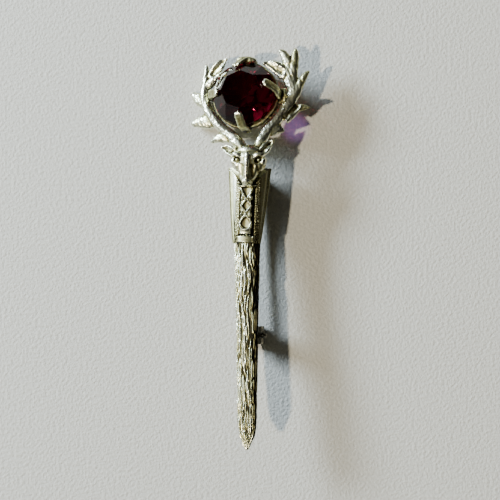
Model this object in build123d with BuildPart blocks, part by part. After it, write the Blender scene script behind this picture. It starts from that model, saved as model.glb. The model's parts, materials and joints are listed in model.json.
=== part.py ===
from build123d import *
from math import acos, cos, degrees, radians, sin, sqrt
import os

# Kilt pin: a stag's head whose antlers wreathe a faceted stone, on a sheath and a bark-textured shaft.
# It is modelled flat, the shaft's tip at the origin, +Y towards the head, +X to the right, +Z to the front.
# It is laid down at the end as it rests by itself: on its catch, the foot of its pin and one antler tip.
# Lengths are in millimetres, angles in degrees.

# Shaft with its bark
bark_length = 44.3
bark_top_width = 5.8
bark_end_width = 4.0
bark_crown = 1.5
bark_back = 1.2
bark_thinning = 0.2
edge_share = 0.3
chamfer_share = 0.25
tip_taper = 2.8
ridge_width = 1.2
ridge_height = 0.3
ridge_swing = 0.25

# Sheath with its raised strip
sheath_length = 16.4
sheath_top_width = 9.6
sheath_end_width = 6.2
sheath_crown = 2.2
sheath_back = 2.0
sheath_lean = 2.6
sheath_flare = 0.8
mouth_depth = 4.2
mouth_floor = 0.3
mouth_floor_width = 3.2
strip_width = 2.3
strip_height = 2.55
strip_overrun = 0.6
motif_height = 3.0
motif_width = 2.8
motif_dish = 0.25
rim_width = 0.42
bead_diameter = 0.68
band_width = 4.6
band_height = 2.75
band_length = 1.5

# Stag's head, from the nose to the poll
head_length = 7.6
head_width = 7.2
head_height = 5.2
head_offset = 0.3
eye_diameter = 1.0
nose_width = 2.2
nose_height = 1.4
nose_depth = 1.0
ear_width = 2.2
ear_thickness = 1.3
ear_hollow = 0.62

# Antlers round the stone
stone_distance = 15.8
wreath_gap = 2.6
antler_diameter = 1.9
antler_rise = 2.5
tip_swell = 1.02
root_depth = 0.9
root_share = 0.6

# Stone
stone_diameter = 14.0
table_share = 0.6
crown_height = 3.4
girdle_height = 0.3
pavilion_depth = 5.6
facet_count = 8
corner_facet_depth = 1.2

# Claw setting
setting_roll = 3.0
setting_pitch = 6.0
seat_height = 2.5
collet_inner = 11.6
collet_outer = 13.6
collet_height = 1.5
collet_drop = 0.3
claw_width = 2.0
claw_thickness = 1.05
claw_rounding = 0.4
lug_height = 0.8
lug_rise = 0.5
stone_clearance = 0.08

# Pin stem, its foot and the safety catch
stem_diameter = 1.0
stem_overhang = 2.4
point_taper = 9.0
foot_below_mouth = 1.6
foot_depth = 4.3
foot_diameter = 2.4
catch_distance = 24.6
catch_depth = 5.7
catch_offset = 0.3
catch_diameter = 4.5
cheek_thickness = 1.2
web_width = 3.15
collar_flange_width = 1.2
collar_flange_diameter = 3.7
collar_wall = 0.5
knob_diameter = 1.1
knob_neck = 0.8
knob_reach = 3.1
knob_angle = 14.0
mouth_angle = -35.0
opening_turn = 105.0
plate_length = 4.6
plate_width = 3.4
plate_thickness = 0.6
plate_corner = 0.7
running_clearance = 0.12
piece_gap = 0.05
overlap = 0.1

# Frames that the pieces are built on
wreath_radius = stone_diameter / 2 + wreath_gap
strip_length = sheath_length - mouth_depth + strip_overrun
nose_along = sheath_length - mouth_depth + 2 * overlap
sheath_frame = Plane(
    origin=(0, bark_length, 0),
    x_dir=Vector(1, 0, 0).rotate(Axis.Z, -sheath_lean),
    z_dir=(0, 0, 1),
)
stone_place = Vector(0, bark_length + sheath_length + stone_distance, 0)
setting_axis = Vector(0, 0, 1).rotate(Axis.Y, -setting_roll).rotate(Axis.X, -setting_pitch)
setting_frame = Plane(origin=stone_place, x_dir=Vector(0, 1, 0).cross(setting_axis), z_dir=setting_axis)

foot_place = sheath_frame.from_local_coords((0, sheath_length - foot_below_mouth, -foot_depth))
catch_place = Vector(catch_offset, catch_distance, -catch_depth)
stem_direction = (catch_place - foot_place).normalized()
catch_frame = Plane(origin=catch_place, x_dir=Vector(0, 0, 1).cross(stem_direction), z_dir=stem_direction)


def across(frame, along):
    """Workplane that cuts a frame's long axis: its x runs across, its y to the front."""
    return Plane(origin=frame.from_local_coords((0, along, 0)), x_dir=frame.x_dir, z_dir=-frame.y_dir)


def half_round(width, back, crown):
    """Outline of a bar with a flat back, low straight sides and an arched front."""
    side, back_side = width / 2, width / 2 - back * chamfer_share
    edge = crown * edge_share
    with BuildLine() as outline:
        Polyline((-side, edge), (-back_side, -back), (back_side, -back), (side, edge))
        ThreePointArc((side, edge), (0, crown), (-side, edge))
    make_face(outline.edges())


def polar_place(angle, reach, height):
    """Place on the wreath: angle about the stone, reach and height as shares of their named sizes."""
    radius = reach * wreath_radius
    return stone_place + Vector(
        radius * cos(radians(angle)), radius * sin(radians(angle)), height * antler_rise
    )


def tip_radius(rows):
    """Radius of the round end of a horn."""
    return min(rows[-1][3], rows[-1][4]) * antler_diameter / 2 * tip_swell


def horn(rows):
    """Loft a horn through its rows, with a root sunk in what it grows from and a round end."""
    places = [polar_place(angle, reach, height) for angle, reach, height, _, _ in rows]
    sizes = [(breadth, thickness) for _, _, _, breadth, thickness in rows]
    places.insert(0, places[0] - (places[1] - places[0]).normalized() * root_depth)
    sizes.insert(0, (sizes[0][0] * root_share, sizes[0][1] * root_share))
    sections = []
    for i, (breadth, thickness) in enumerate(sizes):
        before, after = places[max(i - 1, 0)], places[min(i + 1, len(places) - 1)]
        forward = (after - before).normalized()
        sideways = forward.cross(Vector(0, 0, 1)).normalized()
        with BuildSketch(Plane(origin=places[i], x_dir=sideways, z_dir=forward)) as section:
            Ellipse(breadth * antler_diameter / 2, thickness * antler_diameter / 2)
        sections.append(section.sketch)
    loft(sections)
    with Locations(places[-1]):
        Sphere(tip_radius(rows))


# Antler beams: angle about the stone, reach, height, breadth and thickness
left_beam = [
    (-92.1, 1.23, 0.80, 1.21, 1.15),
    (-98.5, 1.09, 0.78, 1.38, 1.21),
    (-109.3, 0.97, 0.64, 1.32, 1.11),
    (-126.5, 0.91, 0.48, 1.22, 1.05),
    (-147.0, 0.90, 0.36, 1.28, 1.05),
    (-166.2, 0.95, 0.24, 1.12, 1.00),
    (-182.7, 0.99, 0.16, 1.07, 0.95),
    (-196.8, 1.01, 0.10, 0.99, 0.89),
    (-207.3, 1.07, 0.06, 0.92, 0.84),
    (-214.8, 1.15, 0.03, 0.66, 0.63),
    (-218.2, 1.22, 0.00, 0.42, 0.39),
]
right_beam = [
    (-76.2, 1.27, 0.82, 1.21, 1.17),
    (-70.8, 1.13, 0.78, 1.25, 1.21),
    (-61.2, 0.99, 0.64, 1.36, 1.11),
    (-47.6, 0.92, 0.50, 1.38, 1.05),
    (-31.9, 0.91, 0.38, 1.58, 1.05),
    (-17.5, 0.96, 0.28, 1.63, 1.00),
    (-5.3, 1.04, 0.20, 1.50, 0.95),
    (5.1, 1.09, 0.16, 1.38, 0.95),
    (16.6, 1.07, 0.14, 1.69, 0.95),
    (27.4, 1.11, 0.14, 1.84, 0.89),
    (35.5, 1.20, 0.14, 1.53, 0.74),
    (39.8, 1.25, 0.14, 0.92, 0.53),
]

# Tines, in the same columns, from the beam to the tip
tines = [
    # left: brow, second, third, leaf and inner tine
    [
        (-109.8, 1.01, 0.52, 1.17, 0.89), (-119.2, 1.07, 0.44, 0.87, 0.79),
        (-124.9, 1.17, 0.32, 0.66, 0.63), (-128.2, 1.29, 0.18, 0.37, 0.33),
    ],
    [
        (-143.6, 0.94, 0.28, 1.65, 0.89), (-150.7, 1.10, 0.12, 1.22, 0.79),
        (-154.1, 1.26, -0.04, 0.89, 0.63), (-156.2, 1.42, -0.24, 0.39, 0.34),
    ],
    [
        (-172.1, 1.00, 0.16, 1.32, 0.84), (179.9, 1.14, -0.04, 0.92, 0.68),
        (174.5, 1.30, -0.32, 0.32, 0.30),
    ],
    [
        (151.0, 0.95, 0.12, 0.82, 0.63), (140.3, 0.96, 0.20, 1.07, 0.63),
        (130.8, 0.96, 0.28, 1.05, 0.63), (123.1, 0.97, 0.32, 0.68, 0.47),
        (118.4, 0.98, 0.34, 0.40, 0.32),
    ],
    [
        (164.6, 0.96, 0.12, 0.92, 0.74), (155.3, 0.88, 0.20, 0.89, 0.68),
        (145.3, 0.82, 0.28, 0.64, 0.53), (135.1, 0.78, 0.34, 0.40, 0.38),
        (127.7, 0.77, 0.38, 0.26, 0.23),
    ],
    # right: brow, second, third, the two fork tips and the inner curl
    [
        (-56.2, 0.97, 0.54, 1.12, 0.89), (-48.2, 1.05, 0.44, 0.82, 0.74),
        (-44.3, 1.17, 0.34, 0.38, 0.33),
    ],
    [
        (-29.5, 0.98, 0.28, 1.89, 0.95), (-20.2, 1.09, 0.14, 1.53, 0.74),
        (-14.7, 1.23, 0.04, 0.82, 0.53), (-12.8, 1.35, -0.02, 0.54, 0.42),
        (-11.9, 1.45, -0.06, 0.29, 0.25),
    ],
    [
        (-3.3, 1.06, 0.16, 1.28, 0.89), (6.8, 1.18, 0.14, 1.09, 0.79),
        (13.7, 1.31, 0.12, 0.82, 0.63), (17.8, 1.43, 0.08, 0.58, 0.47),
        (19.1, 1.50, 0.06, 0.39, 0.37),
    ],
    [
        (23.0, 1.13, 0.14, 1.22, 0.84), (30.7, 1.27, 0.14, 0.99, 0.74),
        (36.2, 1.38, 0.16, 0.84, 0.63), (39.6, 1.47, 0.16, 0.66, 0.53),
        (41.4, 1.51, 0.16, 0.49, 0.44),
    ],
    [
        (36.6, 1.21, 0.14, 1.12, 0.74), (42.7, 1.24, 0.16, 0.87, 0.63),
        (47.8, 1.27, 0.17, 0.66, 0.53), (51.4, 1.28, 0.18, 0.37, 0.35),
    ],
    [
        (24.4, 0.97, 0.20, 1.15, 0.74), (34.7, 0.97, 0.28, 1.25, 0.68),
        (43.9, 0.93, 0.38, 1.15, 0.63), (52.8, 0.88, 0.44, 0.79, 0.53),
        (59.2, 0.84, 0.46, 0.37, 0.35),
    ],
]

# Head sections: place from the nose to the poll, width, top and bottom, as shares of the head's sizes
head_sections = [
    (0.00, 0.32, 0.86, 0.38),
    (0.08, 0.42, 0.93, 0.20),
    (0.24, 0.66, 0.95, 0.06),
    (0.36, 0.83, 0.96, 0.02),
    (0.52, 0.92, 0.97, 0.00),
    (0.68, 1.00, 0.94, 0.00),
    (0.84, 0.92, 0.85, 0.00),
    (1.00, 0.72, 0.68, 0.08),
]

# Places on the head, out from its middle, along from the nose and up, as shares of the head's sizes
eye_place = (0.33, 0.63, 0.76)
nose_place = (0.00, 0.02, 0.74)

# Ears: root and tip, in the same three shares
ears = [
    ((-0.38, 0.83, 0.60), (-0.88, 1.07, 0.46)),
    ((0.36, 0.88, 0.60), (0.71, 1.27, 0.50)),
]

# Ear sections: share of the way from root to tip, breadth and thickness as shares of the ear's
ear_sections = [(-0.25, 0.60, 0.80), (0.30, 1.00, 1.00), (0.70, 0.80, 0.90), (0.98, 0.26, 0.40)]

# Motifs on the strip: corners, turn and place along it as a share of its length; no corners make a ring
motifs = [(0, 0, 0.34), (4, 0, 0.63), (3, 30, 0.90)]
bead_places = (0.48, 0.76)

# Shaft's tip: place and width, as shares of the taper's length and of the shaft's width at its end
tip_sections = [(1.00, 1.00), (0.45, 0.66), (0.00, 0.25)]

# Bark lanes: place across as a share of the width; first ridge, ridge length and step as shares of the length
bark_lanes = [
    (-0.42, 0.05, 0.17, 0.185),
    (-0.26, 0.00, 0.20, 0.215),
    (-0.09, 0.08, 0.18, 0.195),
    (0.08, 0.01, 0.16, 0.180),
    (0.24, 0.06, 0.21, 0.225),
    (0.40, 0.02, 0.17, 0.190),
]


def bark_width(share):
    """Width of the bark, by the share of its length from the sheath to the tip."""
    return bark_top_width + (bark_end_width - bark_top_width) * share


# Claw sections. Reach is the share of the way from the tip out to the girdle. Lift and rise are shares of
# the claw's lift off the stone, outwards and upwards. Seat and crown are shares of those two heights. Turn
# is the share of the way from the foot's angle to the tip's. The last two are shares of the claw's own sizes.
claw_sections = [
    # reach, lift, seat, crown, rise, turn, breadth, thickness
    (1.00, 1.15, -0.15, 0.00, 0.00, 0.00, 1.10, 1.15),
    (1.00, 1.10, 0.45, 0.00, 0.00, 0.05, 1.05, 1.05),
    (1.00, 1.02, 1.00, 0.00, 0.00, 0.12, 1.00, 1.00),
    (1.00, 0.86, 1.00, 0.00, 0.94, 0.28, 1.00, 0.95),
    (0.60, 0.72, 1.00, 0.42, 0.92, 0.60, 0.98, 0.90),
    (0.16, 0.74, 1.00, 0.84, 0.94, 0.92, 0.95, 0.84),
    (0.00, 0.62, 1.00, 1.00, 0.80, 1.00, 0.62, 0.50),
]

# Claws: angle of the foot and of the tip about the stone, and how far in the tip is as a share of its radius
claws = [(-4, 15, 0.72), (81, 104, 0.77), (178, 183, 0.68), (-87, -92, 0.68)]

# Solder from the collet to claws and antlers: angle, width, and reach as a share of the wreath's radius
solder_lugs = [
    (-3, 1.6, 0.93),
    (81, 1.5, 0.84),
    (179, 1.6, 0.93),
    (-87, 1.5, 0.84),
    (-42, 1.2, 0.90),
    (217, 1.2, 0.90),
]


def head_point(out, along, up):
    """Place on the head from its shares."""
    return sheath_frame.from_local_coords(
        (head_offset + out * head_width, nose_along + along * head_length, up * head_height)
    )


def claw(foot_angle, tip_angle, tip_share):
    """Claw that rises from the collet outside the girdle and bends over the crown."""
    claw_lift = claw_thickness / 2 + stone_clearance
    tip_reach = tip_share * stone_diameter / 2
    tip_rise = crown_height * min(1, (1 - tip_share) / (1 - table_share))
    places, sides = [], []
    for reach, lift, seat, crown, rise, turn, _, _ in claw_sections:
        angle = foot_angle + (tip_angle - foot_angle) * turn
        outward = setting_frame.x_dir.rotate(Axis((0, 0, 0), setting_axis), angle)
        radius = tip_reach + (stone_diameter / 2 - tip_reach) * reach + claw_lift * lift
        height = seat_height * seat + tip_rise * crown + claw_lift * rise
        places.append(stone_place + outward * radius + setting_axis * height)
        sides.append(setting_axis.cross(outward))
    sections = []
    for i, (*_, broad, thick) in enumerate(claw_sections):
        forward = (places[min(i + 1, len(places) - 1)] - places[max(i - 1, 0)]).normalized()
        depth = claw_thickness * thick
        with BuildSketch(Plane(origin=places[i], x_dir=sides[i], z_dir=forward)) as section:
            RectangleRounded(claw_width * broad, depth, depth * claw_rounding)
        sections.append(section.sketch)
    loft(sections)


with BuildPart() as stag_casting:
    # Shaft, tapering to a blunt tip
    for share in (0.0, 0.5, 1.0 - tip_taper / bark_length):
        depth = 1 - bark_thinning * share
        with BuildSketch(across(Plane.XY, bark_length * (1 - share))):
            half_round(bark_width(share), bark_back * depth, bark_crown * depth)
    loft()
    for along, slim in tip_sections:
        depth = (1 - bark_thinning) * sqrt(slim)
        with BuildSketch(across(Plane.XY, tip_taper * along)):
            half_round(bark_end_width * slim, bark_back * depth, bark_crown * depth)
    loft()

    # Sheath, leaning a little to one side, with the mouth cut for the muzzle
    for share in (0.0, 0.5, 1.0):
        width = sheath_end_width + (sheath_top_width - sheath_end_width) * share**sheath_flare
        with BuildSketch(across(sheath_frame, -overlap + (sheath_length + overlap) * share)):
            half_round(width, bark_back + (sheath_back - bark_back) * share, sheath_crown)
    loft()
    with BuildSketch(sheath_frame.offset(mouth_floor)):
        Polygon(
            (-sheath_top_width / 2, sheath_length + overlap),
            (-mouth_floor_width / 2, sheath_length - mouth_depth),
            (mouth_floor_width / 2, sheath_length - mouth_depth),
            (sheath_top_width / 2, sheath_length + overlap),
            align=None,
        )
    extrude(amount=sheath_crown * 2, mode=Mode.SUBTRACT)

    # Bark ridges, each a long lens half sunk in the shaft
    for place, first, length, step in bark_lanes:
        count = int((1 - tip_taper / bark_length - first) / step)
        for i in range(count):
            middle = first + step * i + length / 2
            x = place * bark_width(middle)
            arch = bark_crown * (1 - (1 - edge_share) * (2 * place) ** 2)
            height = (arch - ridge_width / 2) * (1 - bark_thinning * middle) + ridge_height
            swing = ridge_swing * (-1) ** i
            start = Vector(x - swing / 2, bark_length * (1 - middle + length / 2), height)
            end = Vector(x + swing / 2, bark_length * (1 - middle - length / 2), height)
            with BuildSketch(Plane(origin=(start + end) / 2, x_dir=end - start, z_dir=(0, 0, 1))):
                half = (end - start).length / 2
                with BuildLine():
                    ThreePointArc((-half, 0), (0, ridge_width / 2), (half, 0))
                    Line((half, 0), (-half, 0))
                make_face()
            revolve(axis=Axis(start, end - start))

    # Raised strip: bar, band at its foot, and motifs with raised rims
    with BuildSketch(sheath_frame):
        with Locations((0, strip_length / 2)):
            Rectangle(strip_width, strip_length)
    extrude(amount=strip_height)
    with BuildSketch(across(sheath_frame, overlap)):
        half_round(band_width, bark_back, band_height)
    extrude(amount=-band_length)
    for corners, corner_turn, along in motifs:
        for radius, bottom, mode in (
            (motif_width / 2, 0, Mode.ADD),
            (motif_width / 2 - rim_width, strip_height - motif_dish, Mode.SUBTRACT),
        ):
            with BuildSketch(sheath_frame.offset(bottom)):
                with Locations((0, strip_length * along)):
                    if corners:
                        RegularPolygon(radius, corners, rotation=corner_turn)
                    else:
                        Circle(radius)
            extrude(amount=motif_height - bottom, mode=mode)
    bead_height = strip_height - bead_diameter / 4
    with Locations(
        *(sheath_frame.from_local_coords((side * strip_width / 2, strip_length * along, bead_height))
          for along in bead_places for side in (-1, 1))
    ):
        Sphere(bead_diameter / 2)

    # Head, with brow, eyes, nose and ears
    for along, width, top, bottom in head_sections:
        middle = head_point(0, along, (top + bottom) / 2)
        with BuildSketch(Plane(origin=middle, x_dir=sheath_frame.x_dir, z_dir=-sheath_frame.y_dir)):
            Ellipse(width * head_width / 2, (top - bottom) / 2 * head_height)
    loft()
    out, along, up = eye_place
    with Locations(head_point(-out, along, up), head_point(out, along, up)):
        Sphere(eye_diameter / 2)
    nose_middle = head_point(*nose_place)
    with BuildSketch(Plane(origin=nose_middle, x_dir=sheath_frame.x_dir, z_dir=-sheath_frame.y_dir)):
        Ellipse(nose_width / 2, nose_height / 2)
    extrude(amount=nose_depth / 2, both=True)
    for ear_root, ear_tip in ears:
        root, tip = head_point(*ear_root), head_point(*ear_tip)
        forward = (tip - root).normalized()
        sideways = forward.cross(Vector(0, 0, 1)).normalized()
        for size, lift, mode in ((1, 0, Mode.ADD), (ear_hollow, ear_thickness / 2, Mode.SUBTRACT)):
            for share, broad, thick in ear_sections:
                place = (root + tip) / 2 + (tip - root) * (share - 0.5) * size + Vector(0, 0, lift)
                with BuildSketch(Plane(origin=place, x_dir=sideways, z_dir=forward)):
                    Ellipse(ear_width / 2 * broad * size, ear_thickness / 2 * thick * size)
            loft(mode=mode)

    # Antlers
    horn(left_beam)
    horn(right_beam)
    for rows in tines:
        horn(rows)

    # Setting: open collet, four claws and the solder that joins it to the antlers
    with BuildSketch(setting_frame.offset(-collet_drop)):
        Circle(collet_outer / 2)
        Circle(collet_inner / 2, mode=Mode.SUBTRACT)
    extrude(amount=collet_height)
    for foot_angle, tip_angle, tip_share in claws:
        claw(foot_angle, tip_angle, tip_share)
    lug_inside = (collet_inner + collet_outer) / 4
    for angle, width, reach in solder_lugs:
        outward = setting_frame.x_dir.rotate(Axis((0, 0, 0), setting_axis), angle)
        lug_start = stone_place + outward * lug_inside + setting_axis * lug_rise
        with BuildSketch(Plane(origin=lug_start, x_dir=setting_axis.cross(outward), z_dir=outward)):
            Ellipse(width / 2, lug_height / 2)
        extrude(amount=wreath_radius * reach - lug_inside)

# Stone: a blank ground flat facet by facet, with a table, a sharp girdle and a pointed back
girdle_apothem = stone_diameter / 2 * cos(radians(90 / facet_count))
table_radius = stone_diameter / 2 * table_share
table_apothem = table_radius * cos(radians(180 / facet_count))
seat_frame = setting_frame.offset(seat_height)
crown_edge = girdle_height / 2
corner_depth = pavilion_depth * corner_facet_depth
facet_step = 360 / facet_count


def facet(angle, edge_height, inner_reach, inner_height):
    """Plane of a facet, from the girdle's flat at an angle to a place further in."""
    outward = seat_frame.x_dir.rotate(Axis(stone_place, setting_axis), angle)
    girdle_point = seat_frame.origin + outward * girdle_apothem + setting_axis * edge_height
    inner_point = seat_frame.origin + outward * inner_reach + setting_axis * inner_height
    along = setting_axis.cross(outward)
    normal = (inner_point - girdle_point).cross(along)
    if normal.dot(outward) < 0:
        normal = -normal
    return Plane(origin=girdle_point, x_dir=along, z_dir=normal)


with BuildPart() as stone:
    with BuildSketch(seat_frame.offset(-pavilion_depth - crown_edge)):
        RegularPolygon(girdle_apothem, 2 * facet_count, major_radius=False, rotation=90 / facet_count)
    extrude(amount=pavilion_depth + crown_height + girdle_height)
    for i in range(facet_count):
        main = i * facet_step + facet_step / 2
        corner = i * facet_step
        table_height = crown_edge + crown_height
        split(bisect_by=facet(main, crown_edge, table_apothem, table_height), keep=Keep.BOTTOM)
        split(bisect_by=facet(corner, crown_edge, table_radius, table_height), keep=Keep.BOTTOM)
        split(bisect_by=facet(main, -crown_edge, 0, -crown_edge - pavilion_depth), keep=Keep.BOTTOM)
        split(bisect_by=facet(corner, -crown_edge, 0, -crown_edge - corner_depth), keep=Keep.BOTTOM)

# Pin stem with its foot, one plain piece behind the sheath
stem_reach = (catch_place - foot_place).length + cheek_thickness + collar_flange_width / 2
with BuildPart() as pin_stem:
    with BuildSketch(Plane(origin=foot_place, z_dir=stem_direction)):
        Circle(stem_diameter / 2)
    extrude(amount=stem_reach)
    with BuildSketch(Plane(origin=foot_place + stem_direction * stem_reach, z_dir=stem_direction)):
        Circle(stem_diameter / 2)
    extrude(amount=stem_overhang, taper=point_taper)
    with Locations(foot_place):
        Sphere(foot_diameter / 2)
    foot_top = -(bark_back + (sheath_back - bark_back) * (1 - foot_below_mouth / sheath_length)) - piece_gap
    with BuildSketch(Plane(origin=foot_place)):
        Circle(foot_diameter / 2)
    extrude(amount=foot_top - foot_place.Z)

# Safety catch: a foot plate under the shaft and two slotted cheeks round the stem's line
catch_length = 2 * cheek_thickness + collar_flange_width + 2 * running_clearance
sleeve_bore = stem_diameter + 2 * running_clearance
sleeve_diameter = sleeve_bore + 2 * collar_wall
bore_diameter = sleeve_diameter + 2 * running_clearance
slot_width = stem_diameter + 2 * running_clearance
plate_top = -bark_back * (1 - bark_thinning * (1 - catch_distance / bark_length)) - piece_gap
web_rise = plate_top - plate_thickness / 2 + catch_depth
with BuildPart() as safety_catch:
    for cheek_start in (-catch_length / 2, catch_length / 2 - cheek_thickness):
        with BuildSketch(catch_frame.offset(cheek_start)):
            Circle(catch_diameter / 2)
            with Locations((0, web_rise / 2)):
                Rectangle(web_width, web_rise)
            Circle(bore_diameter / 2, mode=Mode.SUBTRACT)
            with PolarLocations(catch_diameter / 2, 1, start_angle=mouth_angle):
                Rectangle(catch_diameter, slot_width, mode=Mode.SUBTRACT)
        extrude(amount=cheek_thickness)
    with BuildSketch(Plane(origin=(catch_offset, catch_distance, plate_top - plate_thickness))):
        RectangleRounded(plate_width, plate_length, plate_corner)
    extrude(amount=plate_thickness)

# Collar: a slotted sleeve through both cheeks with a flange and a knob between them
with BuildPart() as catch_collar:
    with BuildSketch(catch_frame.offset(-catch_length / 2)):
        Circle(sleeve_diameter / 2)
    extrude(amount=catch_length)
    with BuildSketch(catch_frame.offset(-collar_flange_width / 2)):
        Circle(collar_flange_diameter / 2)
    extrude(amount=collar_flange_width)
    knob_line = catch_frame.x_dir.rotate(Axis((0, 0, 0), stem_direction), knob_angle)
    with BuildSketch(Plane(origin=catch_place, z_dir=knob_line)):
        Circle(knob_neck / 2)
    extrude(amount=knob_reach - knob_diameter / 2)
    with Locations(catch_place + knob_line * (knob_reach - knob_diameter / 2)):
        Sphere(knob_diameter / 2)
    with BuildSketch(catch_frame.offset(-catch_length)):
        Circle(sleeve_bore / 2)
        with PolarLocations(catch_diameter / 2, 1, start_angle=mouth_angle - opening_turn):
            Rectangle(catch_diameter, slot_width)
    extrude(amount=catch_length * 2, mode=Mode.SUBTRACT)

# The pin rests on three round places: the catch's end towards the head, the foot and one left tine's tip.
# The floor is the plane that touches these three balls from below.
balls = [
    (catch_place - stem_direction * catch_length / 2, catch_diameter / 2),
    (foot_place, foot_diameter / 2),
    (polar_place(*tines[2][-1][:3]), tip_radius(tines[2])),
]
(catch_ball, catch_radius), (foot_ball, foot_radius), (tine_ball, tine_radius) = balls
to_foot, to_tine = foot_ball - catch_ball, tine_ball - catch_ball
foot_rise, tine_rise = foot_radius - catch_radius, tine_radius - catch_radius
spread = to_foot.cross(to_tine)
in_plane = (to_tine.cross(spread) * foot_rise + spread.cross(to_foot) * tine_rise) / spread.dot(spread)
up = in_plane + spread.normalized() * sqrt(1 - in_plane.dot(in_plane))
floor = Plane(origin=up * (catch_ball.dot(up) - catch_radius), x_dir=Vector(0, 1, 0).cross(up), z_dir=up)

pieces = [stag_casting, stone, pin_stem, safety_catch, catch_collar]
for piece in pieces:
    piece.part = floor.to_local_coords(piece.part)
whole = Compound([piece.part for piece in pieces]).bounding_box()
centring = Location((-(whole.min.X + whole.max.X) / 2, -(whole.min.Y + whole.max.Y) / 2, 0))
for piece in pieces:
    piece.part = piece.part.moved(centring)

stag_casting.part.label = "stag_casting"
stone.part.label = "stone"
pin_stem.part.label = "pin_stem"
safety_catch.part.label = "safety_catch"
catch_collar.part.label = "catch_collar"
os.makedirs("parts", exist_ok=True)
export_step(stag_casting.part, "parts/stag_casting.step")
export_step(stone.part, "parts/stone.step")
export_step(pin_stem.part, "parts/pin_stem.step")
export_step(safety_catch.part, "parts/safety_catch.step")
export_step(catch_collar.part, "parts/catch_collar.step")

joint_place = floor.to_local_coords(catch_place) + centring.position
joint_axis = floor.to_local_coords(catch_place + stem_direction) + centring.position - joint_place
print("collar turns about", joint_place, "along", joint_axis)
print("floor tilt", degrees(acos(up.Z)), "up", up, "lowest", whole.min.Z, "size", whole.size)
for piece in pieces:
    print(piece.part.label, "solids", len(piece.solids()), "volume", round(piece.part.volume, 1),
          "centre", piece.part.center(CenterOf.MASS))
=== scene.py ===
# %% [markdown]
# # A kilt pin with a stag's head
#
# The real pin is a small white-metal casting with an aged silver plate: a bark-textured shaft, a sheath with
# a raised strip, and a stag's head whose antlers wreathe a faceted dark purple stone held by four claws. A
# safety catch looks out from behind the shaft.
#
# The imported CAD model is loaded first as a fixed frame. Everything that is made here sits in that frame, in
# metres.

# %% The frame
import math

import bmesh
import bpy
import numpy as np
from mathutils import Matrix, Vector, noise
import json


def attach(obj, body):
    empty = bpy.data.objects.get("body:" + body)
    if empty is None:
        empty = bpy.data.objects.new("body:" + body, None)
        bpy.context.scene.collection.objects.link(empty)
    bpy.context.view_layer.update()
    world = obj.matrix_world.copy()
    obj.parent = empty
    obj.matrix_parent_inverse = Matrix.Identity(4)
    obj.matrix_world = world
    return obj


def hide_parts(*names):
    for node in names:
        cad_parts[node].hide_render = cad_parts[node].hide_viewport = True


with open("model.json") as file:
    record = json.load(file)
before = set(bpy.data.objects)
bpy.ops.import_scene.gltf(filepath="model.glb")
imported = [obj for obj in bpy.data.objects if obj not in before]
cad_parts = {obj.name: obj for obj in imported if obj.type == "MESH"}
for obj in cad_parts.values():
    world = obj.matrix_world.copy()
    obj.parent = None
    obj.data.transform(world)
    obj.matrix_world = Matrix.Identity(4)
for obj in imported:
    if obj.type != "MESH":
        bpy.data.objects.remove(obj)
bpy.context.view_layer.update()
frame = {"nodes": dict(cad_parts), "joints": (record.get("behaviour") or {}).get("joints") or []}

# %% [markdown]
# ## Two ways to look at the pin
#
# The pin lies a little tilted, because it rests on its catch, on the foot of its pin and on one antler tip.
# It could be modelled tilted, but it is far easier to model it flat, as its maker would: the shaft's tip at
# the origin, +Y towards the head, +X to the right, +Z to the front, in millimetres. One matrix then lays the
# flat model down where the CAD pieces lie. The catch's hinge is known in both frames, so it ties the two
# together, and two tilts turn the pin from the bench to the table.

# %% From the maker's bench to the table
hinge = Vector(frame["joints"][0]["pos_m"])
hinge_on_bench = Vector((0.3, 24.6, -5.7))
side_tilt, end_tilt = math.radians(12.9729), math.radians(4.2498)
turn = Matrix.Rotation(-end_tilt, 4, "X") @ Matrix.Rotation(-side_tilt, 4, "Y")
lay_down = Matrix.Translation(hinge) @ turn @ Matrix.Scale(0.001, 4) @ Matrix.Translation(-hinge_on_bench)

bark_length = 44.3
sheath_length = 16.4
sheath_lean = math.radians(2.6)
lean = Matrix.Translation((0, bark_length, 0)) @ Matrix.Rotation(-sheath_lean, 4, "Z")
stone_place = Vector((0, 76.5, 0))
print("the shaft's tip lies at", [round(1000 * c, 2) for c in lay_down @ Vector()], "mm")

# %% [markdown]
# ## Camera
#
# The photograph looks straight down on the pin, with the head at the top. A camera looks along its own -Z, so
# one that isn't turned already looks down with +Y at the top of the picture. Its lens follows from how wide
# the picture is at half the pin's height, and from how far away that is.

# %% Camera
camera_place = (0.000035, -0.00045, 0.306)
# in millimetres
picture_width, picture_distance = 108.5, 300
camera_data = bpy.data.cameras.new("camera")
camera_data.sensor_width = 36
camera_data.lens = camera_data.sensor_width * picture_distance / picture_width
camera = bpy.data.objects.new("camera", camera_data)
camera.location = camera_place
bpy.context.scene.collection.objects.link(camera)
bpy.context.scene.camera = camera
print("the lens has", round(camera_data.lens, 1), "mm")

# %% [markdown]
# ## Materials
#
# Every colour is written as the hex value that a colour picker shows, and one function turns it into the
# linear value that the renderer works with. One small function adds a node with its inputs and its settings.
# A pattern's scale is worked out from the size of its grains, because Object coordinates are in metres.


# %% Colours and nodes
def colour(hex_code):
    """Linear RGBA from an sRGB hex value."""
    parts = [int(hex_code[i : i + 2], 16) / 255 for i in (1, 3, 5)]
    return [p / 12.92 if p <= 0.04045 else ((p + 0.055) / 1.055) ** 2.4 for p in parts] + [1]


def add(tree, kind, inputs=None, **settings):
    """Add a node. Its inputs, by name or number, get a socket to link or a value; settings are attributes."""
    node = tree.nodes.new(kind)
    for key, value in settings.items():
        setattr(node, key, value)
    for key, value in (inputs or {}).items():
        if isinstance(value, bpy.types.NodeSocket):
            tree.links.new(value, node.inputs[key])
        else:
            node.inputs[key].default_value = value
    return node


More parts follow.
